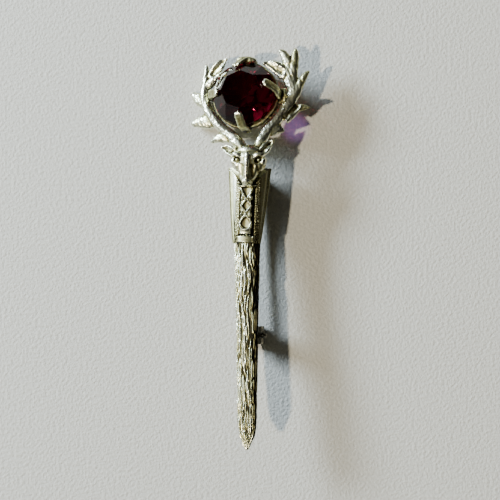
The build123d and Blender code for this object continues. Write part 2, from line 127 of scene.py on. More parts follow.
def new_material(name):
    """Empty node material with its tree and its shader."""
    material = bpy.data.materials.new(name)
    material.use_nodes = True
    tree = material.node_tree
    tree.nodes.clear()
    shader = add(tree, "ShaderNodeBsdfPrincipled")
    add(tree, "ShaderNodeOutputMaterial", {0: shader.outputs[0]})
    return material, tree, shader


def shades(tree, factor, *stops):
    """Colour ramp through stops of place and hex value."""
    ramp = add(tree, "ShaderNodeValToRGB", {0: factor})
    elements = ramp.color_ramp.elements
    while len(elements) < len(stops):
        elements.new(0.5)
    for element, (place, hex_code) in zip(elements, stops):
        element.position = place
        element.color = colour(hex_code)
    return ramp.outputs[0]


def grains(size):
    """Scale of a pattern whose grains have a size in millimetres."""
    return 1000 / size


print("half grey in linear light is", round(colour("#808080")[0], 3))

# %% [markdown]
# ### Aged silver plate
#
# Silver plate over white metal, dipped in a darkening bath and then rubbed bright again: the high places
# shine, pale and a little yellow, and the hollows keep a brown to black tarnish. Pointiness could find the
# hollows, but it follows the mesh's density. So the modelling steps store on each vertex how deep it lies in
# a hollow, in an attribute that the finish reads. The same attribute carries painted shade: some sides and
# edges are stored darker where light falls away from them. Patches a millimetre wide keep the rubbing uneven.
# The grit is drawn a sixth of a millimetre wide, coarser than the real one, which would not show.

# %% Aged silver plate
patch_size, grit_size = 10 / 9, 1 / 6
silver, tree, shader = new_material("silver_plate_antiqued_with_painted_shade")
place = add(tree, "ShaderNodeTexCoord").outputs["Object"]
recess_and_painted_shade = add(tree, "ShaderNodeAttribute", attribute_name="recess_and_painted_shade").outputs["Fac"]
patch = add(tree, "ShaderNodeTexNoise", {"Vector": place, "Scale": grains(patch_size), "Detail": 4})
patchy = add(tree, "ShaderNodeMath", {0: patch.outputs[0], 1: 0.35, 2: -0.17}, operation="MULTIPLY_ADD")
# The attribute brings the tarnish of the hollows and the painted shade alike, and the ramp turns both into
# darker silver.
depth = add(tree, "ShaderNodeMath", {0: recess_and_painted_shade, 1: patchy.outputs[0]}, operation="ADD").outputs[0]
rubbed_and_shaded_to_black = (0.0, "#e6e8ce"), (0.32, "#b5b487"), (0.5, "#766f4b"), (0.68, "#383324"), (1.0, "#0f0e0a")
tree.links.new(shades(tree, depth, *rubbed_and_shaded_to_black), shader.inputs["Base Color"])
shader.inputs["Metallic"].default_value = 1
rough = add(tree, "ShaderNodeMapRange", {0: depth, 1: 0.0, 2: 1.0, 3: 0.27, 4: 0.62})
tree.links.new(rough.outputs[0], shader.inputs["Roughness"])
grit = add(tree, "ShaderNodeTexNoise", {"Vector": place, "Scale": grains(grit_size), "Detail": 2})
bump = add(tree, "ShaderNodeBump", {"Height": grit.outputs[0], "Strength": 0.25, "Distance": 0.00004})
tree.links.new(bump.outputs[0], shader.inputs["Normal"])
print(silver.name, "has", len(tree.nodes), "nodes")

# %% [markdown]
# ### Purple glass
#
# The stone is cut glass of a very dark garnet purple. It looks almost black where nothing shines through it,
# and flashes red where a back facet throws the light forward. A dark glossy plastic would give the black but
# never the flash, so it is real transmitting glass with the index of a cut-glass stone.

# %% Purple glass
glass, tree, shader = new_material("purple_glass_cut_and_polished")
shader.inputs["Base Color"].default_value = colour("#6c0c20")
shader.inputs["Specular Tint"].default_value = colour("#544850")
shader.inputs["Transmission Weight"].default_value = 1
shader.inputs["Roughness"].default_value = 0.01
shader.inputs["IOR"].default_value = 1.54
print(glass.name, "has", len(tree.nodes), "nodes")

# %% [markdown]
# ### Steel and nickel
#
# The hidden pin is drawn spring steel, with fine lines along the wire. The catch is a nickel-plated fitting
# that was soldered on afterwards and has dulled. Both are plain metals, told apart by their grain: lines
# stretched along the pin for the one, soft blotches for the other. The lines are drawn coarser than real
# ones, which are too fine to show.

# %% Steel and nickel
line_size, film_size = (1 / 9, 10 / 7, 1 / 9), 5 / 6
steel, tree, shader = new_material("spring_steel_drawn")
place = add(tree, "ShaderNodeTexCoord").outputs["Object"]
drawn = add(tree, "ShaderNodeMapping", {"Vector": place, "Scale": [grains(size) for size in line_size]})
lines = add(tree, "ShaderNodeTexNoise", {"Vector": drawn.outputs[0], "Scale": 1, "Detail": 3})
bright = shades(tree, lines.outputs[0], (0.3, "#8d8c86"), (0.7, "#c2c0b8"))
tree.links.new(bright, shader.inputs["Base Color"])
shader.inputs["Metallic"].default_value = 1
shader.inputs["Roughness"].default_value = 0.28

nickel, tree, shader = new_material("nickel_plate_dulled")
place = add(tree, "ShaderNodeTexCoord").outputs["Object"]
film = add(tree, "ShaderNodeTexNoise", {"Vector": place, "Scale": grains(film_size), "Detail": 5}).outputs[0]
dulled = shades(tree, film, (0.3, "#3a382f"), (0.5, "#6b685b"), (0.72, "#a5a293"))
tree.links.new(dulled, shader.inputs["Base Color"])
shader.inputs["Metallic"].default_value = 1
rough = add(tree, "ShaderNodeMapRange", {0: film, 1: 0.3, 2: 0.7, 3: 0.5, 4: 0.26})
tree.links.new(rough.outputs[0], shader.inputs["Roughness"])
print(steel.name, "and", nickel.name, "are made")

# %% [markdown]
# ## Helpers for casting
#
# A wax carver builds a form up from simple lumps and strips, melts them together and then cuts the detail.
# Sculpting by hand would do it too, but can't be written down. The helpers do what the carver does: strips
# and lumps are bmesh shapes, a voxel remesh melts them into one skin, and the detail is cut by moving the
# skin's vertices along their normals.


# %% Curves through rows
def smooth_rows(rows, steps):
    """Rows of numbers along a strip, with steps added in between on a smooth curve."""
    rows = np.array(rows, float)
    padded = np.vstack([2 * rows[0] - rows[1], rows, 2 * rows[-1] - rows[-2]])
    finer = []
    for i in range(len(rows) - 1):
        a, b, c, d = padded[i : i + 4]
        for t in np.linspace(0, 1, steps, endpoint=False):
            bent = 2 * b + (c - a) * t + (2 * a - 5 * b + 4 * c - d) * t**2
            finer.append(0.5 * (bent + (3 * b - a - 3 * c + d) * t**3))
    return finer + [rows[-1]]


def signed_power(value, power):
    """Power of a value that keeps its sign, which squares or sharpens a circle."""
    return math.copysign(abs(value) ** power, value)


def step(low, high, value):
    """Smooth step from 0 below low to 1 above high."""
    t = min(1, max(0, (value - low) / (high - low)))
    return t * t * (3 - 2 * t)


def bell(distance, width):
    """1 at no distance, fading out over a width."""
    return math.exp(-((distance / width) ** 2))


print("two rows and four steps give", len(smooth_rows([(0, 0), (1, 1)], 4)), "rows")


# %% Strips and lumps of wax
def strip(bm, stations, up=Vector((0, 0, 1)), roof=1.0, square=1.0):
    """Sweep an oval through stations of place, half breadth and half thickness, with round ends.
    A roof above 1 sharpens its front into a ridge, and a square below 1 turns the oval into a rounded bar."""
    places = [Vector(s[:3]) for s in stations]
    corners = 24
    ring = None
    for i, station in enumerate(stations):
        forward = (places[min(i + 1, len(places) - 1)] - places[max(i - 1, 0)]).normalized()
        side = forward.cross(up).normalized()
        top = side.cross(forward)
        if ring is None:
            ring = bmesh.ops.create_circle(bm, cap_ends=True, segments=corners, radius=1)["verts"]
        else:
            edges = list({e for v in ring for e in v.link_edges if all(w in ring for w in e.verts)})
            made = bmesh.ops.extrude_edge_only(bm, edges=edges)["geom"]
            fresh = [v for v in made if isinstance(v, bmesh.types.BMVert)]
            order = {v: next(e.other_vert(v) for e in v.link_edges if e.other_vert(v) in ring) for v in fresh}
            ring = [next(f for f, old in order.items() if old is r) for r in ring]
        for j, v in enumerate(ring):
            angle = 2 * math.pi * j / corners
            wide = signed_power(math.cos(angle), square)
            rise = signed_power(math.sin(angle), square)
            rise = rise if rise < 0 else rise**roof
            v.co = places[i] + side * (station[3] * wide) + top * (station[4] * rise)
    bmesh.ops.contextual_create(bm, geom=ring)
    for end in (0, -1):
        matrix = Matrix.Translation(places[end]) @ Matrix.Scale(min(stations[end][3:5]), 4)
        bmesh.ops.create_uvsphere(bm, u_segments=12, v_segments=8, radius=1, matrix=matrix)


def lump(bm, place, radii, within=Matrix(), tilt=0.0):
    """Egg of wax with three radii, tilted about the front axis."""
    turned = within @ Matrix.Translation(place) @ Matrix.Rotation(math.radians(tilt), 4, "Z")
    matrix = turned @ Matrix.Diagonal((*radii, 1))
    bmesh.ops.create_uvsphere(bm, u_segments=28, v_segments=18, radius=1, matrix=matrix)


# %% Melting the wax together
def object_from(name, bm):
    """Linked object with the bmesh as its mesh."""
    mesh = bpy.data.meshes.new(name)
    bm.to_mesh(mesh)
    bm.free()
    made = bpy.data.objects.new(name, mesh)
    bpy.context.scene.collection.objects.link(made)
    return made


def melted(bm, voxel, rounds):
    """The lumps and strips as one closed skin, smoothed, as a new bmesh."""
    bmesh.ops.recalc_face_normals(bm, faces=bm.faces)
    rough_wax = object_from("rough_wax", bm)
    remesh = rough_wax.modifiers.new("melt", "REMESH")
    remesh.mode = "VOXEL"
    remesh.voxel_size = voxel
    smooth = rough_wax.modifiers.new("smooth", "SMOOTH")
    smooth.iterations = rounds
    skin = bmesh.new()
    skin.from_object(rough_wax, bpy.context.evaluated_depsgraph_get())
    bpy.data.objects.remove(rough_wax)
    print("the melted wax has", len(skin.verts), "vertices")
    return skin


# %% Cutting and finishing
def cut(bm, depth):
    """Move each vertex along its normal by the depth found at its place, in millimetres."""
    bm.normal_update()
    moves = [(v, v.normal * depth(v.co)) for v in bm.verts]
    for v, move in moves:
        v.co += move


def hollowness(bm, rounds, reach):
    """How deep each vertex lies in a hollow, from 0 on a ridge to 1, against a smoothed copy of the skin."""
    co = np.array([v.co for v in bm.verts])
    bm.normal_update()
    normals = np.array([v.normal for v in bm.verts])
    bm.verts.index_update()
    ends = np.array([(e.verts[0].index, e.verts[1].index) for e in bm.edges])
    count = np.bincount(ends.ravel(), minlength=len(co))[:, None]
    soft = co.copy()
    for _ in range(rounds):
        total = np.zeros_like(soft)
        np.add.at(total, ends[:, 0], soft[ends[:, 1]])
        np.add.at(total, ends[:, 1], soft[ends[:, 0]])
        soft = total / count
    return np.clip(0.35 + ((soft - co) * normals).sum(1) / reach, 0, 1)


def finished_casting(name, bm, recess_and_painted_shade):
    """Lay a flat piece down, plate it, store its dark hollows and painted shade, and let it ride in place of
    the plain casting.
    """
    bm.transform(lay_down)
    bmesh.ops.recalc_face_normals(bm, faces=bm.faces)
    for face in bm.faces:
        face.smooth = True
    piece = object_from(name, bm)
    piece.data.materials.append(silver)
    kept = np.clip(recess_and_painted_shade, 0, 1).astype(np.float32)
    piece.data.attributes.new("recess_and_painted_shade", "FLOAT", "POINT").data.foreach_set("value", kept)
    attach(piece, "root")
    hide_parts("stag_casting")
    piece.data.calc_loop_triangles()
    print(name, "has", len(piece.data.loop_triangles), "triangles")


# %% [markdown]
# ## The shaft and its bark
#
# The shaft tapers from the sheath to a short point. Its front is cut like the bark of an old tree: long
# narrow ridges that run into each other and leave dark grooves. Stretched noise would give the length but not
# the joints. Bark splits into cells as it grows, so the grooves are drawn where the cells of a stretched
# Voronoi pattern meet, once large and once finer. A grid is wrapped into the bar's skin and moved in by their
# depth.

# %% Bark pattern
ridge_spacing, ridge_length = 0.66, 10.5
fine_spacing, fine_length, fine_share = 0.5, 5.0, 0.6


def crack(u, y, spacing, length, level, sharpness):
    """Crack in the bark: 1 where two cells meet, 0 inside a cell. Each level is another pattern."""
    near = noise.voronoi(Vector((u / spacing, y / length, level)))[0]
    return math.exp(-((sharpness * (near[1] - near[0])) ** 1.7))


def bark_relief(u, y):
    """Groove, from 0 on a ridge to 1, and grain of the bark at u round the bar and y along it."""
    sway = 0.5 * noise.noise(Vector((u * 0.25, y * 0.18, 5))) + 0.16 * noise.noise(Vector((u, y * 0.5, 1)))
    groove = crack(u + sway, y, ridge_spacing, ridge_length, 0.5, 6.0)
    fine = crack(u - sway, y, fine_spacing, fine_length, 9.5, 7.5)
    return max(groove, fine_share * fine), noise.noise(Vector((u * 6, y * 0.7, 2)))


print("a groove in the middle of the shaft:", round(bark_relief(0.3, bark_length / 2)[0], 2))

# %% The bar
bark_top_width, bark_end_width, bark_trim = 5.8, 4.0, 0.985
bark_crown, bark_back, bark_thinning = 1.75, 1.2, 0.2
bark_overlap, bar_radius = 0.6, 2.3
# distances from the tip, and the share of the full width there
tip_taper = (0, 2.9, 5.1), (0.22, 0.85, 1.0)

bm = bmesh.new()
bmesh.ops.create_grid(bm, x_segments=190, y_segments=330, size=1)
round_the_bar = {}
for v in bm.verts:
    around, along = v.co.x * math.pi, (v.co.y + 1) / 2
    y = (bark_length + bark_overlap) * (1 - along)
    share = 1 - y / bark_length
    width = (bark_top_width + (bark_end_width - bark_top_width) * share) * bark_trim
    taper = np.interp(y, *tip_taper)
    bend, front = math.sin(around), math.cos(around)
    depth, roundness = (bark_crown, 0.9) if front > 0 else (bark_back, 0.35)
    z = depth * (1 - bark_thinning * share) * signed_power(front, roundness)
    v.co = Vector((width / 2 * signed_power(bend, 0.85) * taper, y, z * (0.2 + 0.8 * taper)))
    round_the_bar[v] = around * bar_radius
bmesh.ops.remove_doubles(bm, verts=bm.verts, dist=0.0005)
bmesh.ops.holes_fill(bm, edges=[e for e in bm.edges if e.is_boundary])
bmesh.ops.recalc_face_normals(bm, faces=bm.faces)
print("the bar has", len(bm.verts), "vertices")

# %% Cutting the bark
groove_depth, grain_depth = 0.42, 0.05
smooth_tip, fade_length = 0.25, 1.5
plain_back, back_share = -0.6, 0.35

bm.normal_update()
cuts = []
for v in bm.verts:
    groove, grain = bark_relief(round_the_bar.get(v, 0), v.co.y)
    fade = min(1, max(0, v.co.y - smooth_tip) / fade_length)
    strength = fade if v.co.z > plain_back else fade * back_share
    # Painted shade: the right side of the bar, turned away from the lamps, is stored darker on top of the
    # grooves' tarnish.
    shade_side = step(0.2, 0.75, v.co.x / (bark_top_width / 2))
    grooves_and_painted_shade = groove * fade + 0.72 * shade_side + 0.3 * max(0, -grain)
    cuts.append((v, v.normal * strength * (grain_depth * grain - groove_depth * groove), grooves_and_painted_shade))
for v, move, grooves_and_painted_shade in cuts:
    v.co += move
finished_casting("bark_shaft", bm, np.array([grooves_and_painted_shade for _, _, grooves_and_painted_shade in cuts]) * 1.2 - 0.45)

# %% [markdown]
# ## The sheath and its strip
#
# The sheath is a tapering trough with two arched panels and a raised strip between them. The strip carries a
# wedge, a diamond and a teardrop, each a dish with a raised rim, with small beads between them, and it ends
# in a plain band. Each motif could be a solid of its own, but all of it is low relief, so it is drawn as a
# height for each place on the front of the sheath and cut into a fine skin. The same function says how dark
# the place is: the darkening bath stays in the dishes, the channels and the stippled borders, and painted
# shade darkens the dishes' left halves, a ring inside each rim, the right panel and both outer edges, while
# painted light brightens the outer part of the left panel.

# %% Sheath sizes
sheath_top_width, sheath_end_width, sheath_flare = 9.6, 6.2, 0.8
sheath_crown, sheath_back, sheath_edge, sheath_sink = 2.2, 2.0, 0.62, 0.25
mouth_depth, mouth_rise, mouth_half = 4.2, 0.3, 1.2
strip_half, strip_height, strip_foot = 1.0, 0.62, 1.5
# kind of motif, its middle along the sheath, half height, half width
motifs = [("wedge", 11.3, 1.1, 1.1), ("diamond", 8.0, 1.45, 1.15), ("teardrop", 4.3, 1.55, 1.3)]
rim_height, rim_breadth, dish_depth = 0.3, 0.19, 0.3
bead_places, bead_side, bead_height, bead_radius = (6.1, 9.75), 0.98, 0.5, 0.33
print("the strip has", len(motifs), "motifs and", 2 * len(bead_places), "beads")


# %% Relief of the strip
def motif_reach(kind, x, s, half_height, half_width):
    """Place in a motif as a share of its size: 0 at its middle, 1 at its rim."""
    u, w = x / half_width, s / half_height
    if kind == "diamond":
        return abs(u) + abs(w)
    if kind == "wedge":
        return max(abs(u) + 0.55 * (0.6 - w) - 0.35, w * 1.1)
    pinch = 1 + 0.9 * max(0, w) ** 1.5
    return math.hypot(u * pinch, w)


def strip_relief(x, s):
    """Height of the strip and how dark it is, at x across and s along the sheath."""
    swell = 0.0704 * max(0, math.cos(math.pi * (s - 7.95) / 1.9)) if s > 5.5 else 0.0726
    half = strip_half + swell
    height = strip_height * (1 - step(half - 0.08, half + 0.1, abs(x)))
    height *= step(strip_foot, strip_foot + 0.1, s)
    dark = 0.0
    for kind, middle, half_height, half_width in motifs:
        reach = motif_reach(kind, x, s - middle, half_height, half_width)
        if reach < 1.6:
            rim = bell(reach - 1, rim_breadth)
            inside = 1 - step(0.62, 0.88, reach)
            height = max(height, strip_height * (1 - step(1.05, 1.3, reach))) + rim_height * rim
            height -= dish_depth * inside * (1 - 0.7 * min(1, abs(x) / half_width) ** 1.6)
            # Tarnish in the dish, with painted shade on its left half and on a ring just inside the rim; the
            # rim itself is rubbed brighter.
            dark += inside * (0.1 + 0.34 * (1 - step(-0.5, 0.4, x)))
            dark += 0.2 * bell(reach - 0.76, 0.09) - 0.3 * rim
    for bead in bead_places:
        far = math.hypot(abs(x) - bead_side, (s - bead) * 0.7)
        height += bead_height * bell(far, bead_radius)
        dark += 0.5 * bell(far - 0.5, 0.13) - 0.5 * bell(far, 0.3)
    return height, dark


# %% Relief of the panels
channel_depth, right_channel, left_channel = 0.4, 1.5, -1.45
right_border, left_border = 2.9, 2.7
band_height, band_length, band_half = 0.5, 1.5, 2.3
bead_line, bead_line_depth = 1.75, 0.42


def sheath_relief(x, s):
    """Height above the arched panels and how dark the place is, at x across and s along the sheath."""
    height, dark = strip_relief(x, s)
    # dark channels beside the strip, the left one shallow
    channel = bell(x - right_channel, 0.26) + 0.35 * bell(x - left_channel, 0.2)
    channel *= step(1.4, 2.0, s)
    height -= channel_depth * channel
    dark += 0.9 * channel
    # stippled borders, then plain arched panels
    outside = right_border if x > 0 else left_border
    border = step(1.5, 1.7, abs(x)) * (1 - step(outside - 0.25, outside, abs(x)))
    stipple = noise.noise(Vector((x * 4, s * 4, 7))) + 0.5 * noise.noise(Vector((x * 9, s * 9, 3)))
    height += border * (0.1 + 0.09 * stipple)
    dark += border * (0.4 - 0.4 * stipple)
    # Painted shade on the right panel, mottled by the stipple, and painted light on the outer part of the
    # left panel.
    panel = 0.12 * step(1.6, 2.1, x) + 0.12 * stipple if x > 0 else -0.08 * (x < -2)
    dark += panel * (1 - border)
    # plain band at the foot, with a beaded line above it
    band = step(0.05, 0.2, s) * (1 - step(band_length - 0.15, band_length, s))
    band *= 1 - step(band_half - 0.4, band_half, abs(x))
    height += band_height * band
    dark += band * (0.2 + 0.25 * stipple)
    line = bell(s - bead_line, 0.16) * (1 - step(1.3, 1.9, abs(x)))
    height -= bead_line_depth * line * (1 + 0.5 * math.sin(x * 9))
    dark += 0.9 * line
    return height, dark


print("the middle of the teardrop is", round(sheath_relief(0, 4.3)[0], 2), "mm high")


# %% Skin of the sheath
front_share = 0.74
rim_place, rim_rise = 0.88, 0.12


def front_skin(across, along, width):
    """Place and darkness on the sheath's front, at a share across, from -1 to 1, and a share along."""
    x = width / 2 * across
    arch = sheath_edge + (sheath_crown - sheath_edge) * (1 - abs(across) ** 2.1)
    past_mouth = max(0, abs(x) - mouth_half) / (sheath_top_width / 2 - mouth_half)
    mouth = sheath_length - mouth_depth + past_mouth * (mouth_depth + mouth_rise)
    s = along * min(sheath_length, mouth)
    height, dark = sheath_relief(x, s)
    rim = rim_rise * bell(abs(across) - rim_place, 0.06)
    # Painted shade towards both outer edges of the arch, and painted light on the rim and on the left panel's
    # outer part.
    dark += 0.42 * step(0.68, 0.84, -across) + 0.25 * step(0.86, 0.93, across)
    dark -= 0.12 * rim + 0.1 * (x < -2.5)
    return Vector((x, s, arch + height - sheath_sink + rim)), dark


def back_skin(turn_back, along, width):
    """Place on the sheath's side walls and flat back, from one front edge at 0 round to the other at 1."""
    side = 1 if turn_back < 0.5 else -1
    from_edge = (turn_back if side > 0 else 1 - turn_back) / 0.25
    down, inward = min(1, from_edge), max(0, from_edge - 1)
    edge = sheath_edge - sheath_sink
    back = bark_back + (sheath_back - bark_back) * along
    x = side * width / 2 * (1 - inward) * (1 - 0.12 * down)
    return Vector((x, along * sheath_length, edge - (edge + back) * down))


# %% Sheath
bm = bmesh.new()
bmesh.ops.create_grid(bm, x_segments=250, y_segments=230, size=1)
tones = {}
for v in bm.verts:
    around, along = (v.co.x + 1) / 2, (v.co.y + 1) / 2
    width = sheath_end_width + (sheath_top_width - sheath_end_width) * along**sheath_flare
    if around < front_share:
        place, tones[v] = front_skin(2 * around / front_share - 1, along, width)
    else:
        place, tones[v] = back_skin((around - front_share) / (1 - front_share), along, width), 0.5
    v.co = lean @ place
bmesh.ops.remove_doubles(bm, verts=bm.verts, dist=0.0005)
bmesh.ops.holes_fill(bm, edges=[e for e in bm.edges if e.is_boundary])
sheath_dark = np.array([tones.get(v, 0.1) for v in bm.verts])
finished_casting("sheath", bm, sheath_dark + hollowness(bm, 12, 0.18) - 0.2)

# %% [markdown]
# ## The antlers
#
# Head, ears and antlers are one casting, so they are modelled as one wax. Pipes joined by booleans would
# leave sharp seams, but eggs and strips that are melted together get the soft joints of a real casting. Each
# antler has a beam that runs round the stone, and tines that leave it. Their stations are rows of an angle
# about the stone, a reach as a share of the wreath's radius, a height as a share of its rise, and breadth and
# thickness as shares of the antler's diameter. The strips are drawn a little broader than these rows.

# %% Beams
wreath_radius, antler_diameter, antler_rise = 9.6, 1.9, 2.5
left_beam = [
    (-92.1, 1.23, 0.80, 1.01, 1.21), (-98.5, 1.09, 0.78, 1.21, 1.21), (-109.3, 0.97, 0.64, 1.16, 1.11),
    (-126.5, 0.91, 0.48, 1.07, 1.05), (-147.0, 0.90, 0.36, 1.12, 1.05), (-166.2, 0.95, 0.24, 0.98, 1.00),
    (-182.7, 0.99, 0.16, 0.94, 0.95), (-196.8, 1.01, 0.10, 0.87, 0.89), (-207.3, 1.07, 0.06, 0.81, 0.84),
    (-214.8, 1.15, 0.03, 0.58, 0.63), (-218.2, 1.22, 0.00, 0.34, 0.42),
]
right_beam = [
    (-76.2, 1.27, 0.82, 1.03, 1.21), (-70.8, 1.13, 0.78, 1.10, 1.21), (-61.2, 0.99, 0.64, 1.19, 1.11),
    (-47.6, 0.92, 0.50, 1.21, 1.05), (-31.9, 0.91, 0.38, 1.39, 1.05), (-17.5, 0.96, 0.28, 1.43, 1.00),
    (-5.3, 1.04, 0.20, 1.32, 0.95), (5.1, 1.09, 0.16, 1.21, 0.95), (16.6, 1.07, 0.14, 1.48, 0.95),
    (27.4, 1.11, 0.14, 1.61, 0.89), (35.5, 1.20, 0.14, 1.34, 0.74), (39.8, 1.25, 0.14, 0.81, 0.53),
]


def on_wreath(angle, reach, height):
    """Place at an angle about the stone, at shares of the wreath's radius and rise."""
    radius, a = reach * wreath_radius, math.radians(angle)
    return stone_place + Vector((radius * math.cos(a), radius * math.sin(a), height * antler_rise))


def wreath_stations(rows, fuller=1.0):
    """Stations of a strip from rows of angle, reach, height, breadth and thickness."""
    stations = []
    for angle, reach, height, breadth, thickness in smooth_rows(rows, 7):
        half_breadth = broader * breadth * antler_diameter / 2
        half_thickness = thickness * antler_diameter / 2
        stations.append((*on_wreath(angle, reach, height), half_breadth * fuller, half_thickness * fuller))
    return stations


broader, fuller_tines = 1.14, 1.14
wax = bmesh.new()
for rows in (left_beam, right_beam):
    strip(wax, wreath_stations(rows))
print("the beams have", len(wax.verts), "vertices")

# %% Tines
tines = {
    "left brow": [
        (-109.8, 0.98, 0.52, 1.10, 0.92), (-119.2, 1.07, 0.44, 1.05, 0.82),
        (-124.9, 1.17, 0.32, 0.72, 0.66), (-128.2, 1.28, 0.18, 0.44, 0.42),
    ],
    "left second": [
        (-143.6, 0.90, 0.28, 1.20, 0.92), (-150.7, 1.10, 0.12, 1.40, 0.82),
        (-154.1, 1.26, -0.04, 1.00, 0.66), (-156.2, 1.41, -0.18, 0.56, 0.38),
    ],
    "left third": [
        (-172.1, 0.97, 0.16, 1.10, 0.86), (-180.1, 1.14, -0.04, 1.05, 0.70),
        (-185.5, 1.29, -0.25, 0.52, 0.36),
    ],
    "leaf": [
        (151.0, 0.95, 0.12, 0.72, 0.63), (140.3, 0.96, 0.20, 0.94, 0.63), (130.8, 0.96, 0.28, 0.92, 0.63),
        (123.1, 0.97, 0.32, 0.60, 0.47), (118.6, 0.98, 0.34, 0.27, 0.32),
    ],
    "left inner": [
        (164.6, 0.96, 0.12, 0.81, 0.74), (155.3, 0.88, 0.20, 0.78, 0.68), (145.3, 0.82, 0.28, 0.56, 0.53),
        (135.1, 0.78, 0.34, 0.34, 0.40), (127.7, 0.77, 0.38, 0.20, 0.26),
    ],
    "right brow": [
        (-56.2, 0.95, 0.54, 1.25, 0.92), (-48.2, 1.05, 0.44, 1.15, 0.80), (-44.3, 1.17, 0.34, 0.50, 0.46),
    ],
    "right second": [
        (-29.5, 0.98, 0.28, 1.66, 0.95), (-20.2, 1.09, 0.14, 1.34, 0.74), (-14.7, 1.23, 0.04, 0.72, 0.53),
        (-12.8, 1.35, -0.02, 0.47, 0.42), (-11.9, 1.45, -0.06, 0.22, 0.29),
    ],
    "right third": [
        (-3.3, 1.06, 0.16, 1.12, 0.89), (6.8, 1.18, 0.14, 0.96, 0.79), (13.7, 1.31, 0.12, 0.72, 0.63),
        (17.8, 1.43, 0.08, 0.51, 0.47), (19.1, 1.50, 0.06, 0.34, 0.37),
    ],
    "fork right": [
        (23.0, 1.13, 0.14, 1.07, 0.84), (30.7, 1.27, 0.14, 0.87, 0.74), (36.2, 1.38, 0.16, 0.74, 0.63),
        (39.6, 1.47, 0.16, 0.58, 0.53), (41.4, 1.51, 0.16, 0.43, 0.44),
    ],
    "fork left": [
        (36.6, 1.21, 0.14, 1.04, 0.74), (42.7, 1.24, 0.16, 0.85, 0.63), (47.8, 1.27, 0.17, 0.68, 0.53),
        (51.4, 1.28, 0.18, 0.42, 0.42),
    ],
    "curl": [
        (24.4, 0.97, 0.20, 1.01, 0.74), (34.7, 0.97, 0.28, 1.10, 0.68), (43.9, 0.93, 0.38, 1.01, 0.63),
        (52.8, 0.88, 0.44, 0.69, 0.53), (59.2, 0.84, 0.46, 0.31, 0.37),
    ],
}
for rows in tines.values():
    strip(wax, wreath_stations(rows, fuller_tines))
print("the antlers have", len(tines), "tines")

# %% [markdown]
# ## The stag's head
#
# The head lies on the sheath's mouth, nose down, and leans with it. Eggs make the skull, the cheeks, the
# brows and the nose, strips the muzzle, the sharp bridge of the nose and the ears. A box model with a
# subdivision surface would need many hand-placed edges for the same few bulges. Places are counted from the
# nose, in millimetres.

# %% Skull and muzzle
nose, head_offset = 12.95, 0.3
head = lean @ Matrix.Translation((head_offset, nose, 0))
lump(wax, (0, 5.3, 2.7), (3.5, 2.3, 2.3), head)
lump(wax, (0, 6.7, 2.6), (2.9, 1.5, 1.95), head)
for side in (-1, 1):
    lump(wax, (side * 2.3, 4.1, 2.5), (1.4, 1.9, 1.6), head, side * -14)
    lump(wax, (side * 2.3, 5.75, 4.05), (1.5, 0.85, 0.95), head, side * 18)
    lump(wax, (side * 3.05, 4.6, 3.2), (0.95, 1.1, 0.85), head)


def head_strip(rows, roof=1.0):
    """Strip on the head from rows of place, half breadth and half thickness."""
    strip(wax, [(*(head @ Vector(r[:3])), r[3], r[4]) for r in smooth_rows(rows, 6)], roof=roof)


muzzle = [
    (-0.1, 0.4, 3.2, 1.4, 1.3), (-0.1, 1.0, 3.15, 1.75, 1.5), (-0.05, 1.9, 3.0, 2.15, 1.75),
    (0, 2.8, 2.9, 2.55, 1.95), (0, 4.0, 2.8, 3.0, 2.1), (0, 5.4, 2.8, 3.2, 2.2),
]
bridge = [
    (-0.1, 0.5, 4.35, 0.5, 0.4), (-0.1, 2.4, 4.75, 0.45, 0.45), (0, 4.2, 4.95, 0.55, 0.5),
    (0, 5.9, 4.7, 0.8, 0.6),
]
head_strip(muzzle, roof=1.1)
head_strip(bridge)
lump(wax, (-0.1, 0.15, 4.1), (1.05, 0.6, 0.8), head)
lump(wax, (-0.1, 0.35, 2.9), (0.95, 0.6, 0.9), head)
print("the nose lies at", [round(c, 1) for c in head @ Vector()], "on the bench")

# %% Ears
left_ear = [
    (-2.4, 5.5, 3.2, 0.6, 0.45), (-3.6, 6.4, 3.1, 1.15, 0.65), (-4.9, 7.2, 2.8, 1.05, 0.55),
    (-6.3, 7.65, 2.4, 0.3, 0.3),
]
right_ear = [
    (2.3, 5.8, 3.3, 0.6, 0.45), (3.1, 6.8, 3.2, 1.1, 0.65), (4.0, 8.0, 3.0, 1.0, 0.55),
    (5.1, 9.2, 2.7, 0.3, 0.3),
]
head_strip(left_ear)
head_strip(right_ear)
skin = melted(wax, 0.11, 2)

# %% [markdown]
# ## Cutting the wax
#
# The detail follows: eye sockets and nostrils are pressed in, the ears and the leaf-shaped tines are scooped
# out along their length, and noise leaves the antlers a little lumpy. Booleans would cut sharp lips, so each
# scoop is a soft one that runs from one place to another and fades out at its radius. The muzzle's right side
# and the thin tips at the right get painted shade, and the antlers' low outer sides are made a little darker.

